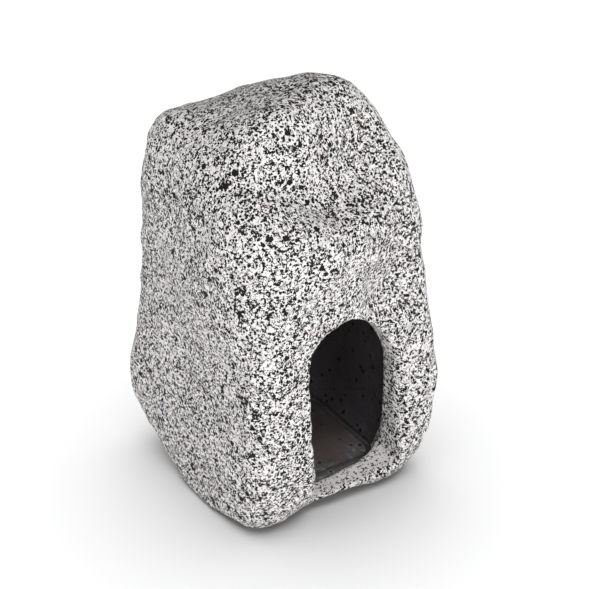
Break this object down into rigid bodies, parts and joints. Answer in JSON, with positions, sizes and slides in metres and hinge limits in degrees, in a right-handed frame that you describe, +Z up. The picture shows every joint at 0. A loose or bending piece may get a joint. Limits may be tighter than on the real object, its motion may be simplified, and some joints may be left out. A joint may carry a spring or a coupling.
{
  "type": "aquarium cave ornament",
  "caption": "Upright hollow rock with an arched doorway at its foot, a bonded floor plate and soft foot pads; a granite-look hide for a fish tank.",
  "frame": {"origin": "on the resting plane, under the middle of the rock's width and depth", "axes": "+Z up, doorway faces -Y, +X to the right when facing the doorway"},
  "size_m": [0.098, 0.098, 0.1722],
  "materials": {
    "granite_coat": "satin, flecked black on warm white",
    "floor_resin": "matt, bare cast resin with a thin grey wash",
    "adhesive": "satin",
    "soft_pad": "matt"
  },
  "bodies": {
    "root": {"rock_shell": "granite_coat", "floor_plate": "floor_resin", "bond_bead": "adhesive", "foot_pad_front_left": "soft_pad", "foot_pad_front_right": "soft_pad", "foot_pad_rear_left": "soft_pad", "foot_pad_rear_right": "soft_pad"}
  },
  "joints": []
}
